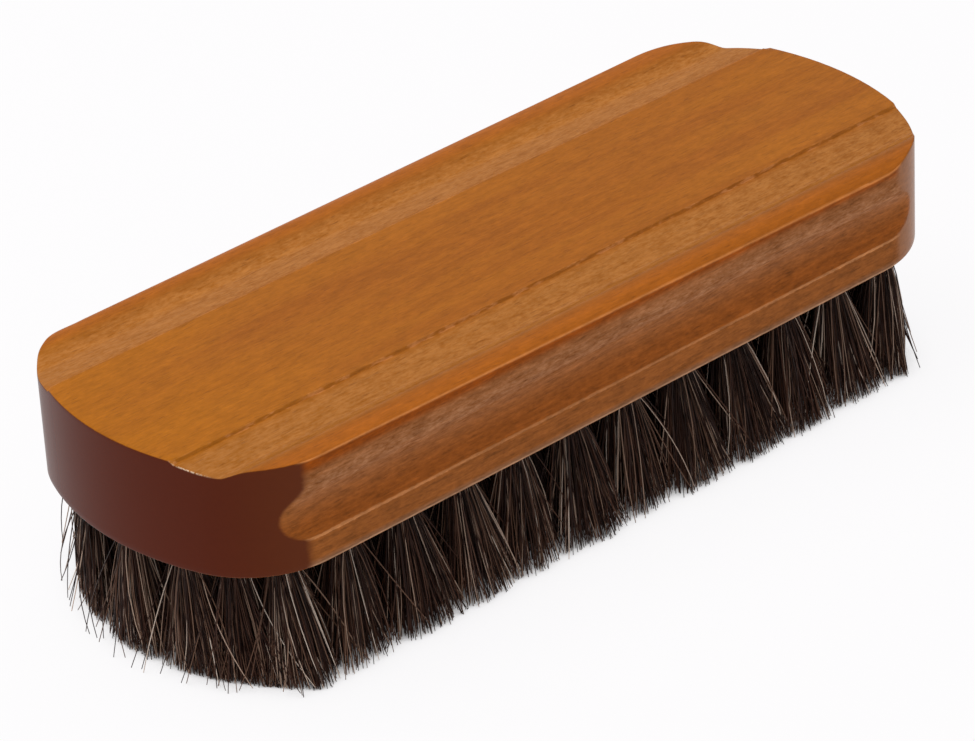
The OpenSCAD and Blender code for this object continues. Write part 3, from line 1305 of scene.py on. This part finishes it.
@dataclass(frozen=True)
class LacqueredWood:
    """The block's finish: a satin orange-brown lacquer, darker and glossier on the sawn ends, the far
    end painted lighter as if lit.

    A Span is where a change starts and where it is done, and a Band is a middle and how far it
    reaches, in millimetres. Names with along go along the block, those with out from its middle
    line, those with across from side to side, those with up from its underside and those with down
    from its rim. The shoulder's and the seam's are counted from the panel's edge.
    """

    panel: Colour = srgb(165, 97, 30)
    panel_red: Colour = srgb(155, 88, 28)
    golden: Colour = srgb(172, 102, 22)
    # painted sheen: the grooves' paler, hazier colour stands in for their reflection
    groove_sheen: Colour = srgb(168, 108, 52)
    rim: Colour = srgb(166, 92, 28)
    side: Colour = srgb(160, 95, 47)
    # painted reflection: the greyish haze on the upper part of the coves
    cove_reflection: Colour = srgb(168, 115, 77)
    side_deep: Colour = srgb(158, 87, 34)
    # painted shade: the dark band under the lip's overhang
    lip_shadow: Colour = srgb(156, 76, 16)
    flange: Colour = srgb(155, 90, 40)
    # worn edges with painted highlights where the ledge's and the shoulder's arrises catch the light
    wear_and_glint: Colour = srgb(208, 140, 88)
    # a pale line along the foot's arris
    pale_foot: Colour = srgb(228, 180, 145)
    foot_haze: Colour = srgb(124, 118, 102)
    # painted highlight: a bright line along the lip's edge
    lip_highlight: Colour = srgb(220, 139, 76)
    end: Colour = srgb(88, 29, 4)
    end_near: Colour = srgb(99, 42, 9)
    # painted light: the far end is lighter, as where light falls on it
    lit_far_end: Colour = srgb(158, 100, 58)
    pore: Colour = srgb(110, 62, 28)
    # chips with a painted highlight on the near groove's end edge
    chips_and_glint: Colour = srgb(235, 205, 175)

    golden_along: Span = (-35.0, -85.0)
    groove_from_out: Span = (15.6, 18.5)
    groove_to_out: Span = (28.0, 24.5)
    rim_out: Span = (26.0, 29.0)
    # painted shade on the near groove's outer wall, and painted light on the far groove
    shade_across: Band = (-26.4, 3.4)
    lit_across: Band = (24.7, 2.5)
    side_up: Span = (7.0, 11.5)
    reflection_up: Band = (15.0, 4.5)
    # where the painted shade under the lip lies
    under_lip_up: Span = (17.3, 18.9)
    flange_up: Span = (6.0, 5.2)
    foot_haze_up: Span = (1.6, 0.6)
    foot_line_up: Span = (0.65, 0.2)
    foot_arris_up: Span = (0.05, 0.0)
    underside_up: Span = (0.25, 0.05)
    end_near_along: Span = (-83.0, -68.0)
    end_far_along: Span = (40.0, 60.0)
    ledge_line: Span = (0.36, 0.14)
    ledge_drop: float = 0.2
    ledge_tilt: float = 0.4
    # where the painted highlight along the lip lies
    lip_down: Band = (0.04, 0.46)
    lip_past: Span = (0.3, 0.9)
    shoulder_out: Band = (0.1, 0.4)
    seam_out: Band = (-0.25, 0.3)
    chips_down: Band = (0.05, 0.28)
    chips_across: Band = (-19.0, 4.5)
    chips_along: Span = (-70.0, -80.0)
    bump_depth: float = 0.12

    def _top(self, s: Sheet, on: WoodGround) -> Reading:
        """Colours the top: its panel, the grooves with a painted sheen, and the rims, with painted
        shade and light on the grooves.

        Args:
            s: the material's sheet.
            on: the places and patterns.

        Returns:
            The top's colour.
        """
        panel = s.mix(on.bands.rise(0.35, 0.7), self.panel, self.panel_red)
        gold = (on.x.rise(*self.golden_along) * 0.6 + on.cloud.swing(1.2)).clamp()
        panel = s.mix(gold, panel, self.golden)
        in_groove = on.out.rise(*self.groove_from_out) * on.out.rise(*self.groove_to_out)
        # painted sheen in the two grooves
        haze = (in_groove * (0.75 + on.speck.swing(2.2) + on.mottle.swing(1.4))).clamp()
        top = s.mix(haze, panel, self.groove_sheen)
        top = s.mix(on.out.rise(*self.rim_out), top, self.rim)
        # painted shade on the near groove's outer wall and painted light on the far groove
        painted_shade = on.y.band(*self.shade_across) * 0.15
        light = on.y.band(*self.lit_across) * 0.14
        return s.shade(top, 1.0 - painted_shade + light)

    def _walls(self, s: Sheet, on: WoodGround, far: Reading) -> Reading:
        """Colours the walls: coves with a painted reflection and a painted shade under the lip,
        flanges, and the ends, the far one painted lighter.

        Args:
            s: the material's sheet.
            on: the places and patterns.
            far: 1 on the far end, else 0.

        Returns:
            The walls' colour.
        """
        side = s.mix(on.z.rise(*self.side_up), self.side_deep, self.side)
        # painted reflection on the coves' upper part, mottled
        reflection_mottle = 0.55 + on.speck.swing(2.0) + on.mottle.swing(1.6)
        side = s.mix((on.z.band(*self.reflection_up) * reflection_mottle).clamp(), side, self.cove_reflection)
        # painted shade under the lip's overhang
        side = s.mix(on.z.rise(*self.under_lip_up), side, self.lip_shadow)
        side = s.mix(on.z.rise(*self.flange_up), side, self.flange)
        side = s.mix(on.z.rise(*self.foot_haze_up) * 0.3, side, self.foot_haze)
        # a pale line along the foot
        line = on.z.rise(*self.foot_line_up) * (1.0 - on.z.rise(*self.foot_arris_up))
        side = s.mix(line * 0.5, side, self.pale_foot)
        end = s.mix(on.x.rise(*self.end_near_along), self.end, self.end_near)
        # painted light on the far end
        end = s.mix(far, end, self.lit_far_end)
        return s.mix(on.on_end, side, end)

    def _wear_and_highlights(self, s: Sheet, on: WoodGround, size: BlockSize, colour: Reading) -> Reading:
        """Lays pores, worn edges with painted highlights, the lip's painted highlight, the panel's
        seam and the chips with their painted highlight over a colour.

        Args:
            s: the material's sheet.
            on: the places and patterns.
            size: the block's sizes.
            colour: what they are laid over.

        Returns:
            The colour with the wear on it.
        """
        tilt = size.flange_tilt * self.ledge_tilt
        arris = size.flange_h - tilt * on.x * s.math("SIGN", on.y)
        ragged = on.speck.swing(0.45)
        ledge = abs(on.z - arris + self.ledge_drop + ragged).rise(*self.ledge_line)
        ledge = ledge * (1.0 - on.on_end) * on.on_wall
        # painted highlight along the lip's edge, fading at the corners
        lip_highlight = on.below.band(*self.lip_down) * (1.0 - on.past.rise(*self.lip_past))
        step = on.out - size.panel_w / 2 + ragged
        on_top = 1.0 - on.on_wall
        shoulder = step.band(*self.shoulder_out) * on_top * on.mottle.rise(0.48, 0.62)
        seam = step.band(*self.seam_out) * on_top * on.mottle.rise(0.5, 0.36)
        # chips and a painted highlight just under the rim at the near groove's end
        chips_glint = on.below.band(*self.chips_down) * on.y.band(*self.chips_across)
        chips_glint = chips_glint * on.x.rise(*self.chips_along) * on.speck.rise(0.4, 0.5)

        colour = s.mix(on.pores * 0.5 * (1.0 - on.on_end * on.on_wall), colour, self.pore)
        colour = s.mix(lip_highlight * 0.9, colour, self.lip_highlight)
        # worn ledge and shoulder lines, with painted highlights on their arrises
        colour = s.mix(ledge * (0.5 + 0.45 * on.bands.rise(0.3, 0.7)), colour, self.wear_and_glint)
        colour = s.mix(shoulder * 0.45, colour, self.wear_and_glint)
        colour = s.mix(seam * 0.15, colour, self.pore)
        return s.mix(chips_glint, colour, self.chips_and_glint)

    def material(self, foot: float, size: BlockSize) -> bpy.types.Material:
        """Makes the material.

        Args:
            foot: the height of the block's underside, in metres.
            size: the block's sizes.

        Returns:
            The material, which reads the block's own marks for its ends and its rim.
        """
        material, s = surface_sheet(Slot.WOOD.value)
        on = WoodGround(s, foot)
        far = on.x.rise(*self.end_far_along)
        colour = s.mix(on.on_wall, self._top(s, on), self._walls(s, on, far))
        colour = s.mix(on.z.rise(*self.underside_up) * 0.8, colour, self.side)
        colour = self._wear_and_highlights(s, on, size, colour)
        gloss = on.on_end * on.on_wall
        depth = (1.0 + on.on_wall * 0.9) * (1.0 - gloss * (0.9 - far * 0.4))
        figure = on.fibre.swing(0.4) + on.speck.swing(0.36) + on.mottle.swing(0.5)
        relief = on.fibre * 0.5 - on.pores * 0.6 + on.speck * 0.5
        bump = s.add("ShaderNodeBump", {}, {
            "Height": relief * (1.0 - gloss * 0.95), "Strength": 0.22,
            "Distance": self.bump_depth * MM,
        })
        shader = s.add("ShaderNodeBsdfPrincipled", {}, {
            "Base Color": s.shade(colour, 1.0 + figure * depth),
            "Roughness": 0.5 - gloss * 0.2 + on.fibre.swing(0.1),
            "Coat Weight": 0.26 + gloss * 0.36,
            "Coat Roughness": 0.2,
            "Coat IOR": 1.25,
            "Specular IOR Level": 0.0,
            "Normal": bump,
        })
        s.add("ShaderNodeOutputMaterial", {}, {"Surface": shader})
        return material


@dataclass(frozen=True)
class Horsehair:
    """Natural dark horsehair: near black, with some brown hairs and a few pale ones."""

    tones: tuple[tuple[float, Colour], ...] = (
        (0.0, srgb(30, 13, 8)),
        (0.5, srgb(50, 26, 16)),
        (0.72, srgb(80, 50, 36)),
        (0.88, srgb(126, 96, 78)),
        (0.955, srgb(196, 168, 148)),
        (1.0, srgb(246, 232, 218)),
    )
    roughness: float = 0.4
    specular: float = 0.16
    # painted shade among the hairs near their roots
    painted_root_shade: float = 0.75
    tip_shade: float = 1.2

    def material(self) -> bpy.types.Material:
        """Makes the material.

        Returns:
            The material, which reads each hair's tone from the piece's own map.
        """
        material, s = surface_sheet(Slot.HAIR.value)
        spot = s.add("ShaderNodeUVMap", {"uv_map": BAKE_MAP})
        axes = s.add("ShaderNodeSeparateXYZ", {}, {"Vector": spot})
        tone, along = axes.port("X"), axes.port("Y")
        colour = s.ramp(tone, list(self.tones))
        # darker towards the roots as painted shade among the hairs, and lighter towards the tips
        colour = s.shade(colour, along.rise(0.1, 1.0, self.painted_root_shade, self.tip_shade))
        shader = s.add("ShaderNodeBsdfPrincipled", {}, {
            "Base Color": colour, "Roughness": self.roughness,
            "Specular IOR Level": self.specular,
        })
        s.add("ShaderNodeOutputMaterial", {}, {"Surface": shader})
        return material


@dataclass(frozen=True)
class DrawnSteel:
    """Flat steel wire, drawn bright, with faint lines along it."""

    bright: Colour = srgb(196, 196, 198)
    dull: Colour = srgb(150, 150, 154)
    lines_along: float = 9000
    lines_across: float = 400

    def material(self) -> bpy.types.Material:
        """Makes the material.

        Returns:
            The material, whose lines run across the block as the anchors do.
        """
        material, s = surface_sheet(Slot.STEEL.value)
        spot = s.add("ShaderNodeTexCoord").port("Object")
        drawn = s.stretch(spot, self.lines_along, self.lines_across, self.lines_along)
        lines = s.noise(drawn, 3.0, 0.6)
        shader = s.add("ShaderNodeBsdfPrincipled", {}, {
            "Base Color": s.mix(lines.rise(0.3, 0.7), self.dull, self.bright),
            "Roughness": 0.28 + lines * 0.2, "Metallic": 1.0,
        })
        s.add("ShaderNodeOutputMaterial", {}, {"Surface": shader})
        return material


@dataclass(frozen=True)
class Studio:
    """A pale floor, soft light and the camera. Lengths are in millimetres, angles in degrees.

    The floor is plain paper, which keeps the shadow, where the brush shuts it in within
    shade_reach. Over two Spans of openness, from 0 to 1, lit paper takes over: by near_glow beside
    the hair and by open_glow more where the air is open.
    """

    azimuth: float = 40.252
    pitch: float = 30.954
    roll: float = -3.188
    distance: float = 862.23
    aim_right: float = -1.473
    aim_up: float = -4.589
    focus_px: float = 5006.04
    image_w: int = 975
    sensor_w: float = 36.0
    clip: Span = (10.0, 20000.0)
    lamp_place: tuple[float, float, float] = (-250.0, 220.0, 1100.0)
    lamp_w: float = 900.0
    lamp_power: float = 9.0
    ambient: float = 0.5
    paper: Colour = srgb(243, 242, 243)
    lit_paper: Colour = srgb(254, 253, 254)
    paper_half_w: float = 4000.0
    shade_reach: float = 7.0
    near_hair: Span = (0.2, 0.6)
    near_glow: float = 0.84
    open_air: Span = (0.6, 0.95)
    open_glow: float = 0.09

    def _camera(self, aim_height: float) -> None:
        """Makes the camera, at the photograph's angle.

        Args:
            aim_height: how far above the origin it is aimed, in metres.
        """
        a, p, r = (math.radians(v) for v in (self.azimuth, self.pitch, self.roll))
        ahead = Vector((math.sin(a) * math.cos(p), math.cos(a) * math.cos(p), -math.sin(p)))
        level = Vector((math.cos(a), -math.sin(a), 0))
        up = level.cross(ahead)
        right = level * math.cos(r) + up * math.sin(r)
        top = up * math.cos(r) - level * math.sin(r)
        eye = level * self.aim_right + up * self.aim_up - ahead * self.distance
        data = bpy.data.cameras.new("camera")
        data.sensor_width = self.sensor_w
        data.lens = self.focus_px / self.image_w * self.sensor_w
        data.clip_start, data.clip_end = (end * MM for end in self.clip)
        camera = bpy.data.objects.new("camera", data)
        bpy.context.scene.collection.objects.link(camera)
        turned = Matrix((right, top, -ahead)).transposed().to_4x4()
        camera.matrix_world = Matrix.Translation(eye * MM + Vector((0, 0, aim_height))) @ turned
        bpy.context.scene.camera = camera

    def _lamp(self) -> None:
        """Hangs one soft square lamp, facing the brush."""
        data = bpy.data.lights.new("soft_top", "AREA")
        data.shape = "SQUARE"
        data.size = self.lamp_w * MM
        data.energy = self.lamp_power
        lamp = bpy.data.objects.new("soft_top", data)
        lamp.location = Vector(self.lamp_place) * MM
        lamp.rotation_euler = (-lamp.location).to_track_quat("-Z", "Y").to_euler()
        bpy.context.scene.collection.objects.link(lamp)

    @staticmethod
    def _seen(s: Sheet) -> Reading:
        """Tells the rays of the camera, and those that mirror or pass it on, from the rest.

        Args:
            s: the sheet that asks.

        Returns:
            1 for such a ray, else 0.
        """
        path = s.add("ShaderNodeLightPath")
        seen = path.port("Is Camera Ray") + path.port("Is Glossy Ray")
        return (seen + path.port("Is Transmission Ray")).clamp()

    def _world(self) -> None:
        """Makes a white surround that lights the brush softly."""
        world = bpy.data.worlds.new("studio")
        world.use_nodes = True
        s = Sheet(world.node_tree)
        seen = self._seen(s)
        glow = seen + (1.0 - seen) * self.ambient
        light = s.add("ShaderNodeBackground", {}, {"Color": (1, 1, 1, 1), "Strength": glow})
        s.add("ShaderNodeOutputWorld", {}, {"Surface": light})
        bpy.context.scene.world = world

    def _floor(self) -> None:
        """Lays a white floor that keeps the shadow."""
        material, s = surface_sheet("studio_floor")
        paper = s.add("ShaderNodeBsdfDiffuse", {}, {"Color": self.paper})
        lit = s.add("ShaderNodeEmission", {}, {"Color": self.lit_paper, "Strength": 1.0})
        reach = {"Distance": self.shade_reach * MM}
        air = s.add("ShaderNodeAmbientOcclusion", {"samples": 6}, reach).port("AO")
        glow = air.rise(*self.near_hair, 0.0, self.near_glow)
        glow = glow + air.rise(*self.open_air, 0.0, self.open_glow)
        both = s.add("ShaderNodeMixShader", {}, {0: self._seen(s) * glow, 1: paper, 2: lit})
        s.add("ShaderNodeOutputMaterial", {}, {"Surface": both})
        half = self.paper_half_w * MM
        mesh = bpy.data.meshes.new("studio_floor")
        corners = [(-half, -half, 0), (half, -half, 0), (half, half, 0), (-half, half, 0)]
        mesh.from_pydata(corners, [], [(0, 1, 2, 3)])
        mesh.materials.append(material)
        floor = bpy.data.objects.new("studio_floor", mesh)
        bpy.context.scene.collection.objects.link(floor)

    def build(self, aim_height: float) -> None:
        """Sets the whole studio up round the brush.

        Args:
            aim_height: the height of the block's underside, in metres.
        """
        self._camera(aim_height)
        self._world()
        self._floor()
        self._lamp()
        bpy.context.scene.view_settings.view_transform = "Standard"


def dress_anchors(finish: bpy.types.Material) -> None:
    """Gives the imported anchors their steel.

    Args:
        finish: the steel.
    """
    for name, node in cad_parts.items():
        if name.startswith("anchor_row_"):
            node.data.materials.clear()
            node.data.materials.append(finish)
            for held in node.material_slots:
                held.material = finish


def corners(box: tuple[Vector, Vector]) -> list[list[float]]:
    """Returns a box's two corners as plain lists."""
    return [list(corner) for corner in box]


def main() -> None:
    logging.basicConfig(level=logging.INFO, format="%(name)s: %(message)s")
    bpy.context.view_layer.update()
    bed = HorsehairBed()
    block = HandleBlock()
    wood = LacqueredWood().material(block.foot, block.size)
    pieces = [block.build(np.concatenate(bed.rows), wood)]
    pieces += bed.build(Horsehair().material())
    dress_anchors(DrawnSteel().material())
    Studio().build(block.foot)
    for piece in pieces:
        LOG.info("%s has %d faces", piece.name, len(piece.data.polygons))


if __name__ == "__main__":
    main()
